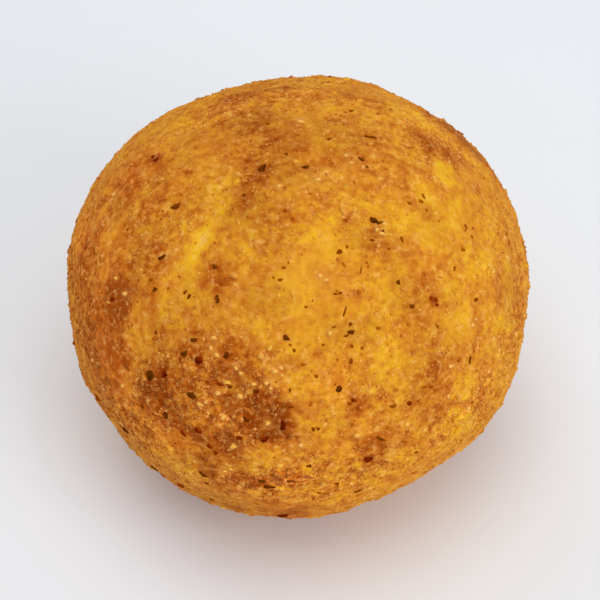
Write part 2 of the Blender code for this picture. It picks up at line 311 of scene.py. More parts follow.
# Herb flakes that the photograph shows, by their tone.
HERB_MARKS = {
    "dark": (
        (150, 376, 9, 6, 80), (184, 354, 6, 5, 20), (191, 395, 6, 5, 20), (374, 221, 7, 5, -10),
        (339, 389, 5, 4, 50), (270, 487, 10, 4, 4),
    ),
    "deep": (
        (194, 340, 6, 4, 0), (226, 355, 5, 4, 60), (162, 257, 7, 3, 20), (217, 297, 5, 4, 80),
        (215, 267, 6, 3, -45), (176, 207, 7, 5, 30), (263, 168, 8, 5, 60), (305, 167, 8, 3, 12),
        (361, 159, 5, 3, 0), (379, 223, 6, 3, 20), (155, 290, 5, 3, 40), (352, 332, 7, 3, 5),
        (470, 359, 8, 3, 85), (286, 338, 5, 4, 50), (379, 438, 10, 3, -30), (290, 481, 8, 4, -30),
        (262, 481, 6, 4, 5), (203, 474, 9, 5, -35), (207, 483, 4, 3, 0), (166, 415, 6, 5, 60),
        (126, 430, 6, 5, 0), (155, 468, 7, 5, -30), (230, 387, 4, 3, 0), (255, 391, 5, 3, 20),
        (246, 419, 6, 3, -30), (218, 301, 4, 3, 60),
    ),
    "brown": (
        (185, 292, 6, 3, 30), (189, 296, 7, 3, 65), (286, 154, 4, 3, 0), (244, 195, 4, 3, 60),
        (370, 137, 10, 3, -14), (367, 167, 4, 3, 0), (383, 231, 4, 3, 60), (372, 240, 4, 3, 0),
        (402, 240, 7, 3, -75), (339, 252, 5, 4, 70), (336, 294, 6, 2, -14), (341, 293, 5, 2, 26),
        (345, 311, 13, 2, 72), (346, 336, 5, 3, 15), (351, 324, 4, 3, 60), (280, 280, 4, 3, 0),
        (398, 282, 5, 4, 20), (412, 306, 4, 4, 0), (476, 300, 5, 4, 60), (431, 387, 4, 3, 0),
        (290, 391, 6, 2, 75), (291, 407, 6, 2, 0), (351, 361, 5, 3, 80), (313, 429, 5, 3, -60),
        (318, 429, 5, 3, -60), (416, 452, 4, 3, 0), (309, 466, 5, 4, 0), (337, 484, 5, 4, 0),
        (357, 491, 8, 4, 10), (213, 476, 4, 3, 0), (143, 407, 5, 4, 0), (156, 332, 4, 3, 60),
    ),
    "faint": (
        (128, 229, 4, 3, 0), (151, 280, 4, 3, 0), (329, 139, 5, 3, 20), (352, 111, 6, 3, 10),
        (427, 143, 5, 3, -40), (347, 247, 4, 3, 70), (378, 328, 4, 3, 0), (334, 327, 4, 2, 30),
        (361, 270, 8, 2, 80), (423, 196, 6, 3, -60), (421, 202, 5, 4, 20), (409, 203, 4, 3, 0),
        (427, 210, 4, 3, 0), (466, 227, 5, 3, -50), (472, 237, 4, 4, 0), (463, 250, 5, 3, 0),
        (509, 243, 5, 3, 70), (437, 326, 7, 3, -40), (492, 380, 4, 3, 0), (424, 387, 4, 3, 0),
        (290, 345, 3, 2, 0), (294, 350, 3, 3, 0), (323, 345, 3, 3, 0), (306, 307, 3, 3, 0),
        (352, 346, 3, 3, 0), (362, 348, 3, 3, 60), (302, 365, 8, 2, 14), (316, 376, 3, 3, 0),
        (393, 406, 6, 4, 20), (319, 493, 5, 3, 0), (268, 383, 3, 3, 0), (284, 268, 4, 3, 0),
    ),
}
# Dark burnt crumbs that the photograph shows, by their tone.
BURNT_MARKS = {
    "dark": (
        (283, 425, 10, 5, 80), (199, 360, 6, 5, 0), (165, 374, 7, 4, 60),
    ),
    "deep": (
        (369, 459, 7, 5, 20), (265, 439, 6, 4, 40), (198, 430, 6, 4, -60), (156, 160, 5, 4, 0),
        (153, 157, 4, 3, 0), (283, 515, 8, 5, 0), (257, 391, 4, 3, 40),
    ),
    "brown": (
        (436, 300, 5, 4, 0), (431, 298, 3, 3, 40), (437, 305, 4, 3, 10), (353, 400, 5, 4, -60),
        (409, 403, 5, 4, 0), (113, 299, 5, 4, 0), (210, 446, 6, 4, -60), (220, 384, 5, 3, 0),
        (239, 438, 6, 4, 30), (183, 433, 6, 4, -50), (216, 453, 5, 3, -30),
    ),
    "faint": (
        (350, 403, 4, 3, -20), (418, 401, 4, 3, 0), (268, 124, 4, 3, 0), (292, 219, 4, 3, 60),
        (162, 402, 6, 4, 0), (247, 418, 4, 3, -20), (98, 397, 9, 7, 0), (181, 485, 8, 6, -30),
    ),
}
# Large pale crumbs that the photograph shows.
PALE_MARKS = (
    (301, 122, 6, 4, 0), (318, 180, 6, 4, 0), (279, 186, 5, 4, 0), (346, 156, 5, 4, 0),
    (351, 163, 5, 4, 0), (363, 167, 5, 4, 0), (380, 179, 5, 4, 0), (320, 276, 5, 4, 0),
    (326, 280, 5, 5, 0), (377, 230, 5, 4, 60), (382, 234, 5, 4, 0), (385, 224, 5, 4, 0),
    (330, 333, 6, 5, 80),
    (507, 258, 6, 5, 0), (504, 238, 5, 4, 0), (506, 302, 6, 4, 0), (493, 272, 5, 4, 0),
    (125, 294, 6, 4, 0), (116, 278, 5, 4, 0), (123, 386, 6, 5, 0), (93, 360, 5, 4, 0),
    (211, 348, 6, 4, -48), (217, 355, 6, 4, -30), (236, 368, 5, 4, -50), (241, 373, 5, 4, 10),
    (227, 382, 7, 5, 0), (267, 383, 6, 4, 0), (271, 388, 5, 4, 50), (240, 396, 6, 5, 0),
    (200, 404, 6, 5, -20), (206, 402, 5, 4, 30), (234, 446, 7, 6, 40), (268, 423, 6, 5, 70),
    (280, 465, 7, 5, 0), (301, 445, 6, 5, 0), (382, 474, 6, 5, 0), (370, 487, 6, 5, 0),
    (357, 435, 6, 5, 0), (407, 424, 6, 5, 0), (468, 408, 6, 5, 0), (448, 396, 5, 5, 0),
    (439, 443, 6, 5, 0), (425, 429, 6, 5, 0), (493, 339, 6, 5, 0), (451, 366, 6, 5, 0),
    (488, 371, 6, 5, 0), (472, 325, 5, 5, 0), (515, 334, 6, 5, 0), (499, 350, 6, 5, 0),
    (114, 195, 6, 5, 0), (178, 134, 5, 4, 0), (225, 471, 5, 4, 20), (231, 469, 5, 4, -20),
    (275, 371, 6, 5, 30), (281, 368, 5, 4, -20), (218, 393, 6, 5, 30), (254, 384, 5, 4, 0),
    (224, 417, 6, 5, 60), (214, 338, 6, 4, 0),
)

# How far each tone of a herb flake or a burnt crumb goes from its faint colour to its dark one.
TONES = {"dark": 1.0, "deep": 0.92, "brown": 0.76, "faint": 0.48}
# A small piece's value at its foot: this share of the value at its top, and this much more.
FOOT = {"browning": (1.0, 0.05), "breadiness": (0.25, 0.0), "darkness": (0.65, 0.0), "freshness": (1.0, 0.0)}

# What the tips, hollows and dots of the fine grain add to the browning, breadiness and lightness. The tips'
# paler colour is painted light, and the hollows' browner, darker colour is painted shade.
HOLLOWS_BROWNER = 0.13
HOLLOWS_PAINTED_SHADE = -0.15
TIPS_BROWNER = -0.08
TIPS_BREADY = 0.75
PALE_DOTS_BREADY = 1.1
# The large dots' strength, as a share of the small ones'.
LARGE_DOTS = 0.4

# How far the marked areas' edges wander and over what width, coarsely and finely, and how steeply they fade.
EDGE_WANDER = ((1.3 * MM, 3.2 * MM), (0.5 * MM, 1.1 * MM))
EDGE_STEEPNESS = 1.8
# Crumbiness between the marked areas, and how far it and the browning sway over what width.
CRUMBINESS = 0.42
CRUMBINESS_SWAY = 0.30
CRUMBINESS_SWAY_WIDTH = 9.0 * MM
BROWNING_SWAY = 0.10
BROWNING_SWAY_WIDTH = 8.0 * MM
# On smooth crust, and more on coarse crust: the crags' share of their full height, the fine grain's height
# in millimetres, and how much paler a crag is than the hollow beside it, as painted light and painted shade.
CRAG_SHARE = (0.35, 0.65)
GRAIN_HEIGHT = (0.02, 0.03)
CRAG_PAINTED_LIGHT_AND_SHADE = (0.12, 0.20)
GRAIN_WIDTH = 0.9 * MM
# The crust's relief grows from the first of these heights above the floor to the second.
RELIEF_HEIGHTS = (0.2 * MM, 2.0 * MM)
# Browning round the strongest herb flakes and burnt crumbs, and its reach past their ends.
HERB_HALO = 0.07
BURNT_HALO = 0.16
HALO_REACH = 0.5 * MM
# Breadiness round the large pale crumbs, and its reach.
PALE_HALO = 0.20
PALE_HALO_REACH = 0.25 * MM
# Browning that the underside has more, and what a strong patch on the hidden sides adds or takes.
UNDER_BROWNER = 0.12
HIDDEN_BROWNER = 0.40
HIDDEN_PALER = 0.24
# Widths of these patches, and of the smaller ones in them, with their strength.
PATCH_WIDTH = 13.0 * MM
SMALL_PATCH_WIDTH = 6.0 * MM
SMALL_PATCH_SHARE = 0.6

# Seeds of the random numbers, and of the shapes of each kind, with how far their corners are moved.
CRUMB_SEED = 11
FLECK_SEED = 23
CHUNKS = (range(1, 9), 0.16)
NUGGETS = (range(21, 31), 0.24)
FLAKES = (range(41, 49), 0.26)
# Small pieces grow in number from the first of these heights to the second, and none reaches the floor.
FOOT_HEIGHTS = (0.5 * MM, 1.5 * MM)
FLOOR_GAP = 0.02 * MM
# Seeded widths and lengths stay between these shares of the usual one.
SHARE_LIMITS = (0.5, 2.2)
# How far seeded crumbs stand out, as a share of their height: sunk between these two, and risen by up to
# the third on coarse crust.
SINKING = (-0.40, -0.24)
RISING = 0.42
# Few crumbs are bready: the power that a random share is raised to.
BREADY_RARITY = 2.6
# Large pale crumbs: their size for their marks, height for their width, share of it that stands out more,
# tilt, browning and breadiness.
PALE_GROWTH = 1.1
PALE_HEIGHT = 0.6
PALE_RISE = 0.05
PALE_TILT = 0.15
PALE_BROWNING = 0.20
PALE_BREADINESS = (0.6, 1.0)
# Herb flakes and burnt specks: their size for their marks where dark and elsewhere, and what stands out more.
DARK_TONE = 0.9
DARK_GROWTH = 1.14
OTHER_GROWTH = 0.97
FLECK_RISE = 0.25
FLECK_TILT = 0.12
# Their height for their width.
HERB_HEIGHT = 0.30
BURNT_HEIGHT = 0.45
# Usual length of seeded flecks and of dust, how far lengths spread, and the limits of the flecks' shares.
HIDDEN_LENGTH = 1.0 * MM
DUST_LENGTH = 0.42 * MM
LENGTH_SPREAD = 0.35
HIDDEN_LIMITS = (0.6, 2.2)
DUST_TILT = 0.2

# The lamps are round, this wide, and turned to this point: name, place, and the setting with its power.
LAMP_SIZE = 0.50
LAMP_AIM = (0.0, 0.0, 0.03)
LAMPS = (
    ("top lamp", (0.0, -0.13, 0.74), "top_power"),
    ("back lamp", (-0.30, 0.46, 0.510), "back_power"),
    ("front right lamp", (0.459, -0.459, 0.375), "front_power"),
)
FLOOR_SIZE = 6.0


class CrumbKind(NamedTuple):
    """A kind of seeded crumb: its usual width in millimetres and how far widths spread, its breadths and
    heights as shares of the width, its tilt, how many lie on smooth crust, how closely the rest keep to
    coarse crust, how much browner than the crust they are, how far that spreads, and how bready they get."""

    name: str
    shape: str
    count: int
    width: float
    width_spread: float
    breadths: tuple
    heights: tuple
    tilt: float
    on_smooth_crust: float
    gathering: float
    browner: float
    tone_spread: float
    bready: float


CRUMB_KINDS = (
    CrumbKind(
        name="fine_crumbs", shape="chunk", count=8000, width=0.56, width_spread=0.30,
        breadths=(0.5, 1.0), heights=(0.3, 0.5), tilt=0.2, on_smooth_crust=0.03, gathering=1.5,
        browner=0.00, tone_spread=0.05, bready=0.70,
    ),
    CrumbKind(
        name="toasted_crumbs", shape="chunk", count=8000, width=0.58, width_spread=0.35,
        breadths=(0.5, 1.0), heights=(0.4, 0.7), tilt=0.3, on_smooth_crust=0.01, gathering=2.0,
        browner=0.05, tone_spread=0.08, bready=0.45,
    ),
    CrumbKind(
        name="pale_slivers", shape="chunk", count=8500, width=0.46, width_spread=0.40,
        breadths=(0.25, 0.55), heights=(0.3, 0.6), tilt=0.5, on_smooth_crust=0.06, gathering=2.0,
        browner=-0.04, tone_spread=0.05, bready=1.00,
    ),
    CrumbKind(
        name="brown_dots", shape="chunk", count=2600, width=0.48, width_spread=0.35,
        breadths=(0.5, 1.0), heights=(0.3, 0.6), tilt=0.3, on_smooth_crust=0.06, gathering=1.5,
        browner=0.28, tone_spread=0.08, bready=0.00,
    ),
    CrumbKind(
        name="coarse_crumbs", shape="nugget", count=6500, width=0.74, width_spread=0.30,
        breadths=(0.45, 0.95), heights=(0.45, 0.8), tilt=0.35, on_smooth_crust=0.02, gathering=1.7,
        browner=0.01, tone_spread=0.08, bready=0.60,
    ),
    CrumbKind(
        name="crumb_clumps", shape="nugget", count=1200, width=1.20, width_spread=0.22,
        breadths=(0.5, 1.0), heights=(0.4, 0.65), tilt=0.3, on_smooth_crust=0.02, gathering=1.5,
        browner=0.00, tone_spread=0.10, bready=0.30,
    ),
)


class ArancinoCrustSettings(bpy.types.PropertyGroup):
    """Form and colours of the fried crust."""

    segments: IntProperty(
        name="Segments", description="Faces along each side of the crust's six fields", default=128
    )
    smoothing: IntProperty(
        name="Smoothing", description="Passes that round the solid's facets", default=30
    )
    lump_height: FloatProperty(
        name="Lump height", description="Height of the soft lumps", default=0.30 * MM, unit="LENGTH"
    )
    lump_width: FloatProperty(
        name="Lump width", description="Width of the soft lumps", default=4.6 * MM, unit="LENGTH"
    )
    crag_height: FloatProperty(
        name="Crag height", description="Height of the crumb bed", default=0.30 * MM, unit="LENGTH"
    )
    crag_width: FloatProperty(
        name="Crag width", description="Width of one crag", default=1.6 * MM, unit="LENGTH"
    )
    yellow: FloatVectorProperty(
        name="Yellow", description="Palest crust", default=(0.91, 0.498, 0.016), subtype="COLOR"
    )
    golden: FloatVectorProperty(
        name="Golden", description="Most of the crust", default=(0.81, 0.358, 0.019), subtype="COLOR"
    )
    amber: FloatVectorProperty(
        name="Amber", description="Well fried crust", default=(0.67, 0.226, 0.018), subtype="COLOR"
    )
    brown: FloatVectorProperty(
        name="Brown", description="Toasted crust", default=(0.49, 0.108, 0.007), subtype="COLOR"
    )
    burnt: FloatVectorProperty(
        name="Burnt", description="Burnt crust", default=(0.33, 0.053, 0.0015), subtype="COLOR"
    )
    bread: FloatVectorProperty(
        name="Bread", description="Pale crumbs", default=(1.0, 0.55, 0.15), subtype="COLOR"
    )
    browning: FloatProperty(
        name="Browning", description="Browning between the marked areas", default=0.48, min=0.0, max=1.0
    )
    roughness: FloatProperty(
        name="Roughness", description="Roughness of the crust", default=0.58, min=0.0, max=1.0
    )


class ArancinoCrumbSettings(bpy.types.PropertyGroup):
    """Number and size of the loose crumbs on the crust."""

    plenty: FloatProperty(
        name="Plenty", description="Times as many crumbs of each kind", default=1.0, min=0.0
    )
    coarseness: FloatProperty(
        name="Coarseness", description="Times as wide crumbs of each kind", default=1.0, min=0.0
    )
    clearance: FloatProperty(
        name="Clearance",
        description="Seeded crumbs stay this far from the ones that the photograph shows",
        default=0.35 * MM,
        unit="LENGTH",
    )


class ArancinoFleckSettings(bpy.types.PropertyGroup):
    """Herb flakes and burnt specks."""

    herb_count: IntProperty(
        name="Herb flakes", description="Herb flakes on the sides that the photograph hides", default=150
    )
    burnt_count: IntProperty(
        name="Burnt specks", description="Burnt specks on the sides that the photograph hides", default=60
    )
    dust_count: IntProperty(name="Herb dust", description="Dust of herb on the whole ball", default=600)
    herb_faint: FloatVectorProperty(
        name="Herb, faint",
        description="Herb deep in the crust",
        default=(0.62, 0.19, 0.0045),
        subtype="COLOR",
    )
    herb_brown: FloatVectorProperty(
        name="Herb, brown", description="Fried herb", default=(0.336, 0.0735, 0.0008), subtype="COLOR"
    )
    herb_dark: FloatVectorProperty(
        name="Herb, dark", description="Dark green herb", default=(0.062, 0.018, 0.001), subtype="COLOR"
    )
    burnt_faint: FloatVectorProperty(
        name="Burnt, faint", description="Deeply browned crumb", default=(0.59, 0.165, 0.011), subtype="COLOR"
    )
    burnt_brown: FloatVectorProperty(
        name="Burnt, brown", description="Burnt crumb", default=(0.324, 0.039, 0.0005), subtype="COLOR"
    )
    burnt_dark: FloatVectorProperty(
        name="Burnt, dark", description="Charred crumb", default=(0.10, 0.0045, 0.0003), subtype="COLOR"
    )


class ArancinoStageSettings(bpy.types.PropertyGroup):
    """Floor, light and camera."""

    elevation: FloatProperty(
        name="Elevation",
        description="Camera's height above the horizon",
        default=math.radians(49.0),
        subtype="ANGLE",
    )
    lens: FloatProperty(name="Lens", description="Focal length in millimetres", default=140.0)
    distance: FloatProperty(
        name="Distance", description="From the camera to the ball", default=0.436, unit="LENGTH"
    )
    aim: FloatVectorProperty(
        name="Aim", description="Point in the middle of the picture", default=(0.00064, -0.0002, 0.03552)
    )
    floor: FloatVectorProperty(
        name="Floor", description="Colour of the floor", default=(0.91, 0.94, 0.975), subtype="COLOR"
    )
    sky: FloatVectorProperty(
        name="Sky", description="Colour of the surrounding light", default=(0.97, 0.985, 1.0), subtype="COLOR"
    )
    sky_strength: FloatProperty(name="Sky strength", description="Surrounding light", default=0.545)
    top_power: FloatProperty(
        name="Top power", description="Power of the soft lamp overhead in watts", default=1.36
    )
    back_power: FloatProperty(
        name="Back power", description="Power of the soft lamp behind at the left in watts", default=0.62
    )
    front_power: FloatProperty(
        name="Front power", description="Power of the soft lamp in front at the right in watts", default=1.54
    )


SETTINGS = {
    "arancino_crust": ArancinoCrustSettings,
    "arancino_crumbs": ArancinoCrumbSettings,
    "arancino_flecks": ArancinoFleckSettings,
    "arancino_stage": ArancinoStageSettings,
}


def camera_axes(stage):
    """Where the camera stands, and its right, up and backward directions."""
    tilt = stage.elevation
    back = Vector((0.0, -math.cos(tilt), math.sin(tilt)))
    up = Vector((0.0, math.sin(tilt), math.cos(tilt)))
    return Vector(stage.aim) + back * stage.distance, Vector((1.0, 0.0, 0.0)), up, back


def photo_point(stage, surface, x, y):
    """The place and normal on a surface that a pixel of the photograph shows."""
    eye, right, up, back = camera_axes(stage)
    half_view = 0.5 * SENSOR / stage.lens
    across = (2.0 * x / PHOTO_WIDTH - 1.0) * half_view
    above = (1.0 - 2.0 * y / PHOTO_WIDTH) * half_view
    ray = (right * across + up * above - back).normalized()
    place, normal, _index, _distance = surface.ray_cast(eye, ray)
    if place is None:
        place, normal, _index, _distance = surface.find_nearest(eye + ray * stage.distance)
    return place, normal


def surface_of(piece):
    """A search tree of a piece's faces."""
    mesh = piece.data
    points = [vert.co.copy() for vert in mesh.vertices]
    return BVHTree.FromPolygons(points, [tuple(face.vertices) for face in mesh.polygons])


def pixel_size(stage):
    """Width of one pixel of the photograph at the ball."""
    return stage.distance * SENSOR / stage.lens / PHOTO_WIDTH


def noise_at(points, width, offset):
    """Soft noise of about -1 to 1 whose bumps are about a width across, at each point."""
    shift = Vector(offset)
    return np.array([noise.noise(Vector(p) / width + shift) for p in points.tolist()])


def wander(points, reach, width):
    """Uneven shifts of up to a reach that change over about a width, at each point."""
    return reach * np.stack([noise_at(points, width, (i * 17.0, 3.0, 9.0)) for i in range(3)], 1)


def area_amounts(points, areas, stage, surface):
    """Sum of the marked areas' amounts at each point, each fading out at its own half lengths."""
    _eye, right, up, _back = camera_axes(stage)
    total = np.zeros(len(points))
    for area in (Area(*row) for row in areas):
        place, normal = photo_point(stage, surface, area.x, area.y)
        angle = math.radians(area.turn)
        along = right * math.cos(angle) + up * math.sin(angle)
        along = (along - normal * along.dot(normal)).normalized()
        aside = normal.cross(along)
        apart = points - np.array(place)
        u = apart @ np.array(along) / (area.half_length * MM)
        v = apart @ np.array(aside) / (area.half_width * MM)
        w = apart @ np.array(normal) / (max(area.half_length, area.half_width) * MM)
        total += area.amount * np.exp(-((u * u + v * v + w * w) ** EDGE_STEEPNESS))
    return total


def halo(points, marks, reach, stage, surface):
    """At each point 1 at the middle of a mark, and less further off, up to about a reach past its end."""
    found = np.zeros(len(points))
    places, _normals, _turns, sizes = marked_pieces(stage, surface, marks)
    for place, size in zip(places, sizes):
        apart = np.linalg.norm(points - place, axis=1) / (0.5 * size[0] + reach)
        found = np.maximum(found, np.exp(-(apart**2)))
    return found


def deselect():
    """Nothing is selected afterwards."""
    bpy.ops.object.select_all(action="DESELECT")


def only(piece):
    """A piece becomes the one selected and active object."""
    deselect()
    piece.select_set(True)
    bpy.context.view_layer.objects.active = piece


def apply_modifier(piece, kind, **values):
    """Adds a modifier with these values and applies it."""
    only(piece)
    modifier = piece.modifiers.new(kind.title(), kind)
    for name, value in values.items():
        setattr(modifier, name, value)
    bpy.ops.object.modifier_apply(modifier=modifier.name)


def rows_of(items, label):
    """Three numbers of each item of a mesh, as rows."""
    found = np.empty(len(items) * 3)
    items.foreach_get(label, found)
    return found.reshape(-1, 3)


def set_points(mesh, points):
    """Moves a mesh's vertices."""
    mesh.vertices.foreach_set("co", points.ravel())
    mesh.update()


def set_attribute(mesh, name, values):
    """Writes one number for each vertex."""
    made = mesh.attributes.new(name, "FLOAT", "POINT")
    made.data.foreach_set("value", np.asarray(values, np.float32))


def finish_piece(piece, material):
    """Gives a finished piece its material and its body, and hides the ball's solid."""
    piece.data.materials.clear()
    piece.data.materials.append(material)
    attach(piece, BODY)
    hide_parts(BALL)


def smoothstep(values, low, high):
    """Rises softly from 0 at low to 1 at high."""
    t = np.clip((values - low) / (high - low), 0.0, 1.0)
    return t * t * (3.0 - 2.0 * t)


def lay_out_map(mesh):
    """A map of the six sides of an evenly cut cube of half width 1, in two rows of three, with a small gap
    round each."""
    loops = np.empty(len(mesh.loops), np.int32)
    mesh.loops.foreach_get("vertex_index", loops)
    middles = rows_of(mesh.polygons, "center")
    axis = np.abs(middles).argmax(1)
    positive = np.take_along_axis(middles, axis[:, None], 1)[:, 0] > 0
    side = np.repeat(axis * 2 + positive, 4)
    across = np.array([(1, 2), (0, 2), (0, 1)])[side // 2]
    place = np.take_along_axis(rows_of(mesh.vertices, "co")[loops], across, 1)
    margin = 0.008
    inside = margin + (1.0 - 2.0 * margin) * (0.5 + 0.5 * place)
    columns, rows = 3, 2
    spots = np.stack([(side % columns + inside[:, 0]) / columns, (side // columns + inside[:, 1]) / rows], 1)
    layer = mesh.uv_layers[0]
    layer.name = "OFBake"
    layer.uv.foreach_set("vector", spots.astype(np.float32).ravel())


def new_material(name, values):
    """A material, its node tree, and its shader with these values in its sockets."""
    material = bpy.data.materials.new(name)
    material.use_nodes = True
    shader = material.node_tree.nodes["Principled BSDF"]
    for label, value in values.items():
        shader.inputs[label].default_value = value
    return material, material.node_tree, shader


def attribute(tree, label):
    """A number that comes with the mesh."""
    made = tree.nodes.new("ShaderNodeAttribute")
    made.attribute_name = label
    return made.outputs["Fac"]


def between(tree, share, low, high):
    """A value that goes from low to high as a share goes from 0 to 1."""
    made = tree.nodes.new("ShaderNodeMapRange")
    made.inputs["To Min"].default_value = low
    made.inputs["To Max"].default_value = high
    tree.links.new(share, made.inputs["Value"])
    return made.outputs["Result"]


def colour_ramp(tree, share, stops):
    """The colour at a share, from stops that are each a position and a colour."""
    made = tree.nodes.new("ShaderNodeValToRGB")
    elements = made.color_ramp.elements
    elements[0].position = stops[0][0]
    elements[1].position = stops[-1][0]
    for position, _colour in stops[1:-1]:
        elements.new(position)
    for element, (_position, colour) in zip(elements, stops):
        element.color = (*colour, 1.0)
    tree.links.new(share, made.inputs[0])
    return made.outputs[0]


def colour_group(crust):
    """Colours of fried crumb by how brown and how bready it is, with mottling, specks, crumbs and relief, and
    with painted shade and painted light.
    """
    tree = bpy.data.node_groups.new("Fried crumb", "ShaderNodeTree")
    sockets = tree.interface
    for label in ("Browning", "Breadiness", "Shade", "Mottling", "Specks", "Crumbs"):
        sockets.new_socket(label, in_out="INPUT", socket_type="NodeSocketFloat")
    sockets.new_socket("Color", in_out="OUTPUT", socket_type="NodeSocketColor")
    sockets.new_socket("Height", in_out="OUTPUT", socket_type="NodeSocketFloat")
    into = tree.nodes.new("NodeGroupInput").outputs
    out = tree.nodes.new("NodeGroupOutput")
    place = tree.nodes.new("ShaderNodeTexCoord").outputs["Object"]

    def noise_node(width, detail, roughness, output="Fac"):
        made = tree.nodes.new("ShaderNodeTexNoise")
        made.inputs["Scale"].default_value = 1.0 / width
        made.inputs["Detail"].default_value = detail
        made.inputs["Roughness"].default_value = roughness
        tree.links.new(place, made.inputs["Vector"])
        return made.outputs[output]

    def maths(operation, a, b=0.0, c=0.0, clamp=False):
        made = tree.nodes.new("ShaderNodeMath")
        made.operation = operation
        made.use_clamp = clamp
        for socket, value in zip(made.inputs, (a, b, c)):
            if isinstance(value, float):
                socket.default_value = value
            else:
                tree.links.new(value, socket)
        return made.outputs[0]

    def over(value, least, steepness):
        """Rises from 0 where a value passes the least, up to 1."""
        return maths("MULTIPLY", maths("SUBTRACT", value, least), steepness, clamp=True)

    bend_width = 0.9 * MM
    bend = tree.nodes.new("ShaderNodeVectorMath")
    bend.operation = "MULTIPLY_ADD"
    tree.links.new(noise_node(bend_width, 1.0, 0.6, "Color"), bend.inputs[0])
    bend.inputs[1].default_value = (bend_width, bend_width, bend_width)
    tree.links.new(place, bend.inputs[2])

    def dots(width, rarity, reach, softness):
        """Uneven dots of many sizes, one in each cell of this width."""
        cells = tree.nodes.new("ShaderNodeTexVoronoi")
        cells.inputs["Scale"].default_value = 1.0 / width
        tree.links.new(bend.outputs[0], cells.inputs["Vector"])
        chance = tree.nodes.new("ShaderNodeSeparateColor")
        tree.links.new(cells.outputs["Color"], chance.inputs[0])
        size = maths("MULTIPLY", maths("POWER", chance.outputs[0], rarity), reach)
        return over(size, cells.outputs["Distance"], softness)

    fine = maths("SUBTRACT", noise_node(width=1.1 * MM, detail=2.0, roughness=0.7), 0.5)
    mottle = maths("SUBTRACT", noise_node(width=3.2 * MM, detail=2.0, roughness=0.95), 0.5)
    grain = noise_node(width=1.15 * MM, detail=2.0, roughness=0.6)
    gathered = over(noise_node(width=2.6 * MM, detail=1.0, roughness=0.5), least=0.40, steepness=4.0)
    gathered = maths("MULTIPLY_ADD", gathered, 0.7, 0.3)
    tips = maths("MULTIPLY", over(grain, least=0.52, steepness=5.0), gathered)
    tips = maths("MULTIPLY", tips, into["Crumbs"])
    hollows = over(maths("SUBTRACT", 1.0, grain), least=0.54, steepness=5.0)
    hollows = maths("MULTIPLY", hollows, into["Crumbs"])
    small_dots = dots(width=1.5 * MM, rarity=5.0, reach=0.25, softness=9.0)
    large_dots = dots(width=3.6 * MM, rarity=4.0, reach=0.34, softness=4.0)
    pale_dots = dots(width=2.1 * MM, rarity=2.4, reach=0.22, softness=6.0)
    pale_dots = maths("MULTIPLY", pale_dots, into["Specks"])

    browning = maths("MULTIPLY_ADD", mottle, into["Mottling"], into["Browning"])
    browning = maths("MULTIPLY_ADD", small_dots, into["Specks"], browning)
    browning = maths("MULTIPLY_ADD", large_dots, maths("MULTIPLY", into["Specks"], LARGE_DOTS), browning)
    # The hollows are browner and the tips paler: painted shade and painted light that follow the grain.
    browning = maths("MULTIPLY_ADD", hollows, HOLLOWS_BROWNER, browning)
    browning = maths("MULTIPLY_ADD", tips, TIPS_BROWNER, browning)
    bready = maths("MULTIPLY_ADD", pale_dots, PALE_DOTS_BREADY, into["Breadiness"])
    bready = maths("MULTIPLY_ADD", tips, TIPS_BREADY, bready, clamp=True)
    stops = (
        (0.05, crust.yellow),
        (0.32, crust.golden),
        (0.55, crust.amber),
        (0.78, crust.brown),
        (1.0, crust.burnt),
    )
    mix = tree.nodes.new("ShaderNodeMix")
    mix.data_type = "RGBA"
    factor, under, top = (socket for socket in mix.inputs if socket.enabled)
    tree.links.new(bready, factor)
    tree.links.new(colour_ramp(tree, browning, stops), under)
    top.default_value = (*crust.bread, 1.0)
    shade = tree.nodes.new("ShaderNodeVectorMath")
    shade.operation = "SCALE"
    tree.links.new(next(socket for socket in mix.outputs if socket.enabled), shade.inputs[0])
    # Painted shade: darker in the grain's hollows and where the Shade input is above zero, lighter where it
    # is below.
    lightness = maths("SUBTRACT", maths("MULTIPLY_ADD", hollows, HOLLOWS_PAINTED_SHADE, 1.0), into["Shade"])
    tree.links.new(lightness, shade.inputs["Scale"])
    tree.links.new(shade.outputs[0], out.inputs["Color"])

    height = maths("MULTIPLY", maths("MULTIPLY_ADD", fine, 0.4, grain), maths("ADD", into["Crumbs"], 0.4))
    tree.links.new(maths("MULTIPLY_ADD", pale_dots, 0.5, height), out.inputs["Height"])
    return tree


def crust_material(name, crust, bump, **effects):
    """Fried crumb whose browning and breadiness come with the mesh. An effect is a pair of values, for
    smooth and for coarse crust, and goes with the mesh's crumbiness where they differ."""
    gloss = {
        "Roughness": crust.roughness,
        "Specular IOR Level": 0.0,
        "Sheen Weight": 0.40,
        "Sheen Roughness": 0.5,
        "Sheen Tint": (1.0, 0.50, 0.13, 1.0),
    }
    material, tree, shader = new_material(name, gloss)
    group = tree.nodes.new("ShaderNodeGroup")
    group.node_tree = bpy.data.node_groups.get("Fried crumb") or colour_group(crust)
    for label, (smooth, coarse) in effects.items():
        socket = group.inputs[label.title()]
        socket.default_value = smooth
        if smooth != coarse:
            tree.links.new(between(tree, attribute(tree, "crumbiness"), smooth, coarse), socket)
    # The shade attribute is painted shade, and painted light where it is negative.
    for label in ("browning", "breadiness", "shade"):
        tree.links.new(attribute(tree, label), group.inputs[label.title()])
    tree.links.new(group.outputs["Color"], shader.inputs["Base Color"])
    bumps = tree.nodes.new("ShaderNodeBump")
    bumps.inputs["Strength"].default_value = 1.0
    bumps.inputs["Distance"].default_value = bump
    tree.links.new(group.outputs["Height"], bumps.inputs["Height"])
    tree.links.new(bumps.outputs["Normal"], shader.inputs["Normal"])
    return material


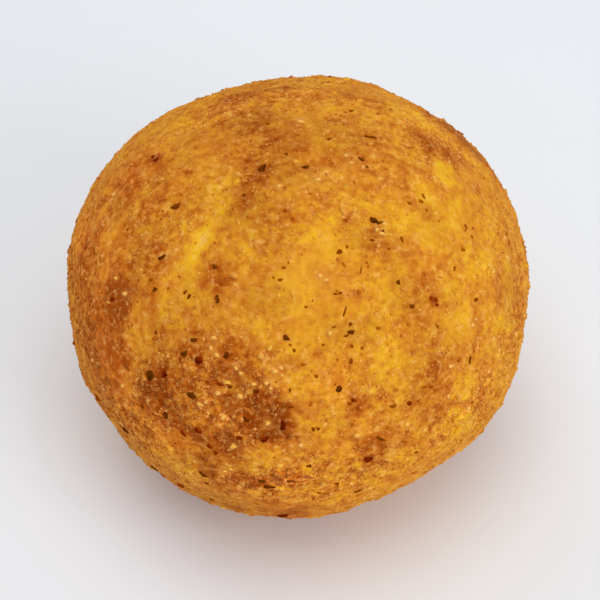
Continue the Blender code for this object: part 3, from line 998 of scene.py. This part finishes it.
def wrapped_ball(crust):
    """A finely cut cube, blown up round the ball, drawn onto its solid and smoothed."""
    low, high = (np.array(corner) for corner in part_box(BALL))
    deselect()
    bpy.ops.mesh.primitive_cube_add(size=2.0)
    piece = bpy.context.object
    piece.name = piece.data.name = "crust"
    bpy.ops.object.mode_set(mode="EDIT")
    bpy.ops.mesh.select_all(action="SELECT")
    bpy.ops.mesh.subdivide(number_cuts=crust.segments - 1)
    bpy.ops.object.mode_set(mode="OBJECT")
    lay_out_map(piece.data)
    even = np.tan(rows_of(piece.data.vertices, "co") * math.pi / 4.0)
    outward = even / np.linalg.norm(even, axis=1, keepdims=True)
    set_points(piece.data, outward * (high - low).max() + 0.5 * (low + high))
    apply_modifier(
        piece,
        "SHRINKWRAP",
        target=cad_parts[BALL],
        wrap_method="PROJECT",
        use_negative_direction=True,
        use_positive_direction=False,
    )
    apply_modifier(piece, "SMOOTH", factor=0.5, iterations=crust.smoothing)
    return piece


def by_crumbiness(values, crumby):
    """A value on smooth crust, and what is added to it as the crust gets coarse."""
    smooth, more = values
    return smooth + more * crumby


def relief(points, crust, crumby):
    """Heights of the soft lumps, of the bed of crags and of the fine grain."""
    lump = crust.lump_height * noise_at(points, crust.lump_width, (7.0, 1.0, 3.0))
    bed = crust.crag_height * by_crumbiness(CRAG_SHARE, crumby)
    bed = bed * noise_at(points, crust.crag_width, (2.0, 8.0, 5.0))
    grain = by_crumbiness(GRAIN_HEIGHT, crumby) * MM * noise_at(points, GRAIN_WIDTH, (12.0, 0.0, 5.0))
    return lump, bed, grain


class ARANCINO_OT_add_crust(bpy.types.Operator):
    """Lay the fried crust over the ball"""

    bl_idname = "arancino.add_crust"
    bl_label = "Add Crust"

    def execute(self, context):
        crust = context.scene.arancino_crust
        stage = context.scene.arancino_stage
        piece = wrapped_ball(crust)
        mesh = piece.data
        points = rows_of(mesh.vertices, "co")
        surface = surface_of(piece)
        marked = points
        for reach, width in EDGE_WANDER:
            marked = marked + wander(points, reach, width)
        crumby = CRUMBINESS + area_amounts(marked, CRUMBY_AREAS, stage, surface)
        crumby += CRUMBINESS_SWAY * noise_at(points, CRUMBINESS_SWAY_WIDTH, (5.0, 40.0, 2.0))
        crumby = np.clip(crumby, 0.0, 1.0)
        brown = crust.browning + area_amounts(marked, BROWNED_AREAS, stage, surface)
        brown -= area_amounts(marked, PALE_AREAS, stage, surface)
        brown += BROWNING_SWAY * noise_at(points, BROWNING_SWAY_WIDTH, (1.0, 4.0, 22.0))
        brown += hidden_browning(points, stage)
        for marks, amount in ((HERB_MARKS, HERB_HALO), (BURNT_MARKS, BURNT_HALO)):
            strong = marks["dark"] + marks["deep"]
            brown += amount * halo(points, strong, HALO_REACH, stage, surface)
        bready = area_amounts(marked, BREADY_AREAS, stage, surface)
        bready += PALE_HALO * halo(points, PALE_MARKS, PALE_HALO_REACH, stage, surface)
        lump, bed, grain = relief(points, crust, crumby)
        rise = (lump + bed + grain) * smoothstep(points[:, 2], *RELIEF_HEIGHTS)
        # Paler on the crags and the grain's tops and browner below them: painted light and painted shade.
        brown -= by_crumbiness(CRAG_PAINTED_LIGHT_AND_SHADE, crumby) * bed / crust.crag_height + crumby * grain / MM
        points = points + rows_of(mesh.vertex_normals, "vector") * rise[:, None]
        points[:, 2] = np.maximum(points[:, 2], 0.0)
        set_points(mesh, points)
        set_attribute(mesh, "browning", np.clip(brown, 0.0, 1.0))
        set_attribute(mesh, "breadiness", bready)
        set_attribute(mesh, "crumbiness", crumby)
        # Painted shade from the marked areas, and painted light where their amount is negative.
        set_attribute(mesh, "shade", area_amounts(marked, PAINTED_SHADE_AND_LIGHT_AREAS, stage, surface))
        only(piece)
        bpy.ops.object.shade_smooth()
        material = crust_material(
            "Fried crust", crust, 0.16 * MM, mottling=(0.6, 1.5), specks=(0.40, 0.40), crumbs=(0.45, 1.15)
        )
        finish_piece(piece, material)
        return {"FINISHED"}


def hidden_browning(points, stage):
    """Toasted and pale patches on the sides that the photograph doesn't show, and a browner underside."""
    _eye, _right, _up, back = camera_axes(stage)
    low, high = (np.array(corner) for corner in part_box(BALL))
    outward = points - 0.5 * (low + high)
    outward /= np.linalg.norm(outward, axis=1, keepdims=True)
    hidden = smoothstep(-(outward @ np.array(back)), -0.1, 0.35)
    under = smoothstep(-outward[:, 2], 0.45, 0.9)
    patches = noise_at(points, PATCH_WIDTH, (3.0, 30.0, 11.0))
    patches = patches + SMALL_PATCH_SHARE * noise_at(points, SMALL_PATCH_WIDTH, (9.0, 2.0, 1.0))
    patches = np.where(patches > 0.0, HIDDEN_BROWNER, HIDDEN_PALER) * patches
    return hidden * patches + UNDER_BROWNER * under


class CrustSample:
    """Places on the finished crust, drawn by area and by a weight."""

    def __init__(self, piece):
        mesh = piece.data
        mesh.calc_loop_triangles()
        corners = np.empty(len(mesh.loop_triangles) * 3, np.int32)
        mesh.loop_triangles.foreach_get("vertices", corners)
        self.corners = corners.reshape(-1, 3)
        self.points = rows_of(mesh.vertices, "co")
        self.normals = rows_of(mesh.vertex_normals, "vector")
        a, b, c = (self.points[self.corners[:, i]] for i in range(3))
        self.area = 0.5 * np.linalg.norm(np.cross(b - a, c - a), axis=1)
        self.values = {}
        for name in ("browning", "crumbiness"):
            found = np.empty(len(mesh.vertices), np.float32)
            mesh.attributes[name].data.foreach_get("value", found)
            self.values[name] = found.astype(float)

    def draw(self, rng, count, weight):
        """Places, normals, browning and crumbiness of this many draws."""
        share = self.area * weight(self)
        picked = rng.choice(len(share), count, p=share / share.sum())
        inside = rng.dirichlet((1.0, 1.0, 1.0), count)
        rows = self.corners[picked]

        def mixed(values):
            return np.einsum("nc,nc...->n...", inside, values[rows])

        normals = mixed(self.normals)
        normals /= np.linalg.norm(normals, axis=1, keepdims=True)
        return mixed(self.points), normals, mixed(self.values["browning"]), mixed(self.values["crumbiness"])

    def mean(self, name):
        """An attribute's mean over each triangle."""
        return self.values[name][self.corners].mean(1)

    def height(self):
        """Each triangle's height above the floor."""
        return self.points[self.corners][:, :, 2].mean(1)


def templates(kind, seeds, unevenness):
    """A few shapes of one kind, modelled once: their points, and the faces that they share."""
    shapes = []
    for seed in seeds:
        deselect()
        kind()
        made = bpy.context.object
        bpy.ops.object.mode_set(mode="EDIT")
        bpy.ops.mesh.select_all(action="SELECT")
        bpy.ops.transform.vertex_random(offset=unevenness, uniform=1.0, seed=seed)
        bpy.ops.mesh.quads_convert_to_tris(quad_method="FIXED", ngon_method="CLIP")
        bpy.ops.object.mode_set(mode="OBJECT")
        points = rows_of(made.data.vertices, "co")
        faces = np.array([tuple(face.vertices) for face in made.data.polygons])
        shapes.append(points - points.mean(0))
        bpy.data.objects.remove(made, do_unlink=True)
    return np.array(shapes), faces


def chunk():
    """An angular crumb is a low five-sided stump before its corners are moved."""
    bpy.ops.mesh.primitive_cone_add(vertices=5, radius1=0.54, radius2=0.28, depth=0.8, end_fill_type="NGON")


def nugget():
    """A coarse crumb is an icosahedron before its corners are moved."""
    bpy.ops.mesh.primitive_ico_sphere_add(subdivisions=1, radius=0.5)


def flake():
    """A herb flake is a low six-sided stump before its corners are moved."""
    bpy.ops.mesh.primitive_cone_add(vertices=6, radius1=0.62, radius2=0.36, depth=0.9, end_fill_type="NGON")


def turned(rng, normals, tilt, turns=None):
    """For each normal, a frame that stands on it, turned on the spot and tilted at random."""
    count = len(normals)
    lean = normals + tilt * rng.normal(size=(count, 3))
    up = lean / np.linalg.norm(lean, axis=1, keepdims=True)
    if turns is None:
        turns = rng.normal(size=(count, 3))
    along = turns - up * (turns * up).sum(1, keepdims=True)
    along /= np.linalg.norm(along, axis=1, keepdims=True)
    return np.stack([along, np.cross(up, along), up], 2)


def scatter(name, rng, shapes, faces, places, frames, sizes, values):
    """One joined mesh of many small pieces: a shape each, sized, turned and put in its place. Their values
    change from the top down to the foot."""
    count = len(places)
    own = shapes[rng.integers(0, len(shapes), count)] * sizes[:, None, :]
    points = np.einsum("nij,nvj->nvi", frames, own) + places[:, None, :]
    points[:, :, 2] = np.maximum(points[:, :, 2], FLOOR_GAP)
    each = shapes.shape[1]
    corners = (faces[None] + np.arange(count)[:, None, None] * each).reshape(-1, 3)
    mesh = bpy.data.meshes.new(name)
    mesh.vertices.add(count * each)
    mesh.vertices.foreach_set("co", points.ravel())
    mesh.loops.add(corners.size)
    mesh.loops.foreach_set("vertex_index", corners.ravel().astype(np.int32))
    mesh.polygons.add(len(corners))
    mesh.polygons.foreach_set("loop_start", np.arange(0, corners.size, 3, dtype=np.int32))
    mesh.update(calc_edges=True)
    height = own[:, :, 2] / own[:, :, 2].max(1, keepdims=True)
    low = np.clip(1.0 - height.ravel(), 0.0, 1.0)
    tints = []
    for label, numbers in values.items():
        share, rise = FOOT[label]
        tints.append(np.clip(np.repeat(numbers, each) * (1.0 - low * (1.0 - share)) + rise * low, 0.0, 1.0))
        set_attribute(mesh, label, tints[-1])
    tint_map(mesh, own, tints, corners)
    piece = bpy.data.objects.new(name, mesh)
    bpy.context.scene.collection.objects.link(piece)
    mesh.shade_smooth()
    return piece


def tint_map(mesh, own, tints, corners):
    """A map on which each small piece lies by its two tints, about a hundredth wide."""
    margin, width = 0.02, 0.012
    spread = own.reshape(-1, 3) / np.abs(own).max()
    spots = margin + (1.0 - 2.0 * margin) * np.clip(np.stack(tints, 1), 0.0, 1.0) + width * spread[:, :2]
    layer = mesh.uv_layers.new(name="OFBake")
    layer.uv.foreach_set("vector", spots[corners.ravel()].astype(np.float32).ravel())


def clear_of_floor(sample):
    """Small pieces keep off the underside's flat spot."""
    return smoothstep(sample.height(), *FOOT_HEIGHTS)


class ARANCINO_OT_add_crumbs(bpy.types.Operator):
    """Scatter fine and coarse breadcrumbs over the crust"""

    bl_idname = "arancino.add_crumbs"
    bl_label = "Add Crumbs"

    def execute(self, context):
        settings = context.scene.arancino_crumbs
        sample = CrustSample(bpy.data.objects["crust"])
        rng = np.random.default_rng(CRUMB_SEED)
        shapes = {"chunk": templates(chunk, *CHUNKS), "nugget": templates(nugget, *NUGGETS)}
        material = crust_material(
            "Breadcrumb",
            context.scene.arancino_crust,
            0.05 * MM,
            mottling=(0.80, 0.80),
            specks=(0.0, 0.0),
            crumbs=(0.22, 0.22),
        )
        kept_clear = self.kept_clear(context)
        for kind in CRUMB_KINDS:
            count = int(kind.count * settings.plenty)

            def weight(s):
                return clear_of_floor(s) * (kind.on_smooth_crust + s.mean("crumbiness") ** kind.gathering)

            places, normals, brown, crumby = sample.draw(rng, count, weight)
            widths = kind.width * MM * settings.coarseness
            widths *= np.clip(rng.lognormal(0.0, kind.width_spread, count), *SHARE_LIMITS)
            shares = [np.ones(count), rng.uniform(*kind.breadths, count), rng.uniform(*kind.heights, count)]
            sizes = widths[:, None] * np.stack(shares, 1)
            depth = rng.uniform(*SINKING, count) + RISING * crumby**2 * rng.uniform(0.3, 1.0, count)
            places = places + normals * (sizes[:, 2] * depth)[:, None]
            pale = kind.bready * rng.uniform(0.0, 1.0, count) ** BREADY_RARITY
            tone = brown + kind.browner + kind.tone_spread * rng.normal(size=count)
            tone = np.clip(tone * (1.0 - 0.5 * pale), 0.0, 1.0)
            frames = turned(rng, normals, kind.tilt)
            kept = kept_clear(places, widths)
            values = {"browning": tone[kept], "breadiness": pale[kept]}
            spots = (places[kept], frames[kept], sizes[kept])
            piece = scatter(kind.name, rng, *shapes[kind.shape], *spots, values)
            finish_piece(piece, material)
        self.marked(context, rng, shapes["nugget"], material)
        return {"FINISHED"}

    def kept_clear(self, context):
        """A test of which seeded crumbs stay clear of the small pieces that the photograph shows."""
        surface = surface_of(bpy.data.objects["crust"])
        stage = context.scene.arancino_stage
        marks = list(PALE_MARKS)
        for flecks in (*HERB_MARKS.values(), *BURNT_MARKS.values()):
            marks.extend(flecks)
        places, _normals, _turns, sizes = marked_pieces(stage, surface, marks)
        reach = 0.45 * sizes[:, 0] + context.scene.arancino_crumbs.clearance

        def test(points, widths):
            apart = np.linalg.norm(points[:, None] - places[None], axis=2)
            return (apart > reach[None] + 0.3 * widths[:, None]).all(1)

        return test

    def marked(self, context, rng, shapes, material):
        """The large pale crumbs that the photograph shows."""
        surface = surface_of(bpy.data.objects["crust"])
        stage = context.scene.arancino_stage
        places, normals, turns, sizes = marked_pieces(stage, surface, PALE_MARKS)
        count = len(places)
        sizes *= PALE_GROWTH
        sizes[:, 2] = PALE_HEIGHT * sizes[:, 1]
        places = places + normals * (PALE_RISE * sizes[:, 2])[:, None]
        bready = rng.uniform(*PALE_BREADINESS, count)
        values = {"browning": np.full(count, PALE_BROWNING), "breadiness": bready}
        frames = turned(rng, normals, PALE_TILT, turns)
        piece = scatter("pale_crumbs", rng, *shapes, places, frames, sizes, values)
        finish_piece(piece, material)


def marked_pieces(stage, surface, marks):
    """Places, normals, directions and sizes of small pieces that the photograph shows."""
    _eye, right, up, _back = camera_axes(stage)
    pixel = pixel_size(stage)
    places, normals, turns, sizes = [], [], [], []
    for mark in (Mark(*row) for row in marks):
        place, normal = photo_point(stage, surface, mark.x, mark.y)
        angle = math.radians(mark.turn)
        places.append(place)
        normals.append(normal)
        turns.append(right * math.cos(angle) + up * math.sin(angle))
        sizes.append((mark.length * pixel, mark.width * pixel, 0.0))
    return tuple(np.array([tuple(row) for row in rows]) for rows in (places, normals, turns, sizes))


class ARANCINO_OT_add_flecks(bpy.types.Operator):
    """Put herb flakes, herb dust and burnt specks on the crust"""

    bl_idname = "arancino.add_flecks"
    bl_label = "Add Herb Flakes and Burnt Specks"

    def execute(self, context):
        flecks = context.scene.arancino_flecks
        crust = bpy.data.objects["crust"]
        surface = surface_of(crust)
        sample = CrustSample(crust)
        rng = np.random.default_rng(FLECK_SEED)
        herb = fleck_material("Dried herb", flecks.herb_faint, flecks.herb_brown, flecks.herb_dark)
        burnt = fleck_material("Burnt crumb", flecks.burnt_faint, flecks.burnt_brown, flecks.burnt_dark)
        kinds = (
            ("herb_flakes", HERB_MARKS, flecks.herb_count, HERB_HEIGHT, herb),
            ("burnt_specks", BURNT_MARKS, flecks.burnt_count, BURNT_HEIGHT, burnt),
        )
        shapes, faces = templates(flake, *FLAKES)
        for name, marks, hidden_count, height, material in kinds:
            flat = [mark for group in marks.values() for mark in group]
            marked = marked_pieces(context.scene.arancino_stage, surface, flat)
            hidden = self.hidden(context, sample, rng, hidden_count)
            places, normals, turns, sizes = (np.concatenate(pair) for pair in zip(marked, hidden))
            tones = [TONES[tone] for tone, group in marks.items() for _mark in group]
            tones = np.concatenate([tones, rng.uniform(0.1, 1.0, hidden_count)])
            count = len(places)
            sizes *= np.where(tones > DARK_TONE, DARK_GROWTH, OTHER_GROWTH)[:, None]
            sizes[:, 2] = height * sizes[:, 1]
            places = places + normals * (FLECK_RISE * sizes[:, 2])[:, None]
            values = {"darkness": tones, "freshness": rng.uniform(0.0, 1.0, count)}
            frames = turned(rng, normals, FLECK_TILT, turns)
            piece = scatter(name, rng, shapes, faces, places, frames, sizes, values)
            finish_piece(piece, material)
        piece = self.dust(sample, rng, shapes, faces, flecks.dust_count)
        finish_piece(piece, herb)
        return {"FINISHED"}

    def dust(self, sample, rng, shapes, faces, count):
        """Seeded dust of herb on the whole ball."""
        places, normals, _brown, _crumby = sample.draw(rng, count, clear_of_floor)
        length = DUST_LENGTH * np.clip(rng.lognormal(0.0, LENGTH_SPREAD, count), *SHARE_LIMITS)
        sizes = np.stack([length, rng.uniform(0.3, 0.8, count) * length, HERB_HEIGHT * length], 1)
        values = {"darkness": rng.uniform(0.0, 0.7, count) ** 1.4, "freshness": rng.uniform(0.0, 1.0, count)}
        frames = turned(rng, normals, DUST_TILT)
        return scatter("herb_dust", rng, shapes, faces, places, frames, sizes, values)

    def hidden(self, context, sample, rng, count):
        """Seeded flakes on the sides that the photograph doesn't show."""
        _eye, _right, _up, back = camera_axes(context.scene.arancino_stage)
        behind = np.array(back)

        def weight(s):
            facing = s.normals[s.corners].mean(1) @ behind
            return clear_of_floor(s) * smoothstep(-facing, -0.25, 0.0)

        places, normals, _brown, _crumby = sample.draw(rng, count, weight)
        length = HIDDEN_LENGTH * np.clip(rng.lognormal(0.0, LENGTH_SPREAD, count), *HIDDEN_LIMITS)
        sizes = np.stack([length, length * rng.uniform(0.4, 0.8, count), np.zeros(count)], 1)
        return places, normals, rng.normal(size=(count, 3)), sizes


def fleck_material(name, faint, brown, dark):
    """A fleck whose colour runs from a faint one to a dark one by its darkness, and is lighter when fresh."""
    material, tree, shader = new_material(name, {"Roughness": 0.6, "Specular IOR Level": 0.0})
    colour = colour_ramp(tree, attribute(tree, "darkness"), ((0.0, faint), (0.5, brown), (1.0, dark)))
    lightness = tree.nodes.new("ShaderNodeHueSaturation")
    tree.links.new(between(tree, attribute(tree, "freshness"), 0.85, 1.2), lightness.inputs["Value"])
    tree.links.new(colour, lightness.inputs["Color"])
    tree.links.new(lightness.outputs[0], shader.inputs["Base Color"])
    return material


class ARANCINO_OT_add_stage(bpy.types.Operator):
    """Set up the floor, the soft light and the camera"""

    bl_idname = "arancino.add_stage"
    bl_label = "Add Stage"

    def execute(self, context):
        stage = context.scene.arancino_stage
        deselect()
        bpy.ops.mesh.primitive_plane_add(size=FLOOR_SIZE)
        floor = context.object
        floor.name = floor.data.name = "floor"
        looks = {"Base Color": (*stage.floor, 1.0), "Roughness": 0.9, "Specular IOR Level": 0.1}
        floor.data.materials.append(new_material("Pale floor", looks)[0])

        world = bpy.data.worlds.new("Soft sky")
        world.use_nodes = True
        glow = world.node_tree.nodes["Background"]
        glow.inputs["Color"].default_value = (*stage.sky, 1.0)
        glow.inputs["Strength"].default_value = stage.sky_strength
        context.scene.world = world

        for name, place, power in LAMPS:
            light = bpy.data.lights.new(name, "AREA")
            light.shape = "DISK"
            light.size = LAMP_SIZE
            light.energy = getattr(stage, power)
            lamp = bpy.data.objects.new(name, light)
            context.scene.collection.objects.link(lamp)
            lamp.location = place
            aim = Vector(LAMP_AIM) - lamp.location
            lamp.rotation_euler = aim.to_track_quat("-Z", "Y").to_euler()

        eye, _right, _up, _back = camera_axes(stage)
        lens = bpy.data.cameras.new("camera")
        lens.lens = stage.lens
        lens.sensor_width = SENSOR
        camera = bpy.data.objects.new("camera", lens)
        context.scene.collection.objects.link(camera)
        camera.location = eye
        camera.rotation_euler = (math.pi / 2.0 - stage.elevation, 0.0, 0.0)
        context.scene.camera = camera
        context.scene.view_settings.view_transform = "Standard"
        return {"FINISHED"}


class ARANCINO_PT_panel(bpy.types.Panel):
    """Lists the steps and their settings"""

    bl_idname = "ARANCINO_PT_panel"
    bl_label = "Arancino"
    bl_space_type = "VIEW_3D"
    bl_region_type = "UI"
    bl_category = "Arancino"

    def draw(self, context):
        layout = self.layout
        for step in STEPS:
            layout.operator(step.bl_idname)
        for name, group in SETTINGS.items():
            box = layout.box()
            box.label(text=group.__doc__)
            for prop in group.__annotations__:
                box.prop(getattr(context.scene, name), prop)


STEPS = (
    ARANCINO_OT_add_crust,
    ARANCINO_OT_add_crumbs,
    ARANCINO_OT_add_flecks,
    ARANCINO_OT_add_stage,
)
CLASSES = (*SETTINGS.values(), *STEPS, ARANCINO_PT_panel)


def register():
    """Makes the settings, operators and panel known to Blender."""
    for cls in CLASSES:
        bpy.utils.register_class(cls)
    for name, group in SETTINGS.items():
        setattr(bpy.types.Scene, name, PointerProperty(type=group))


def unregister():
    """Removes them again."""
    for name in SETTINGS:
        delattr(bpy.types.Scene, name)
    for cls in reversed(CLASSES):
        bpy.utils.unregister_class(cls)


def main():
    """Registers the add-on and models every piece."""
    register()
    bpy.ops.arancino.add_crust()
    bpy.ops.arancino.add_crumbs()
    bpy.ops.arancino.add_flecks()
    bpy.ops.arancino.add_stage()


if __name__ == "__main__":
    main()
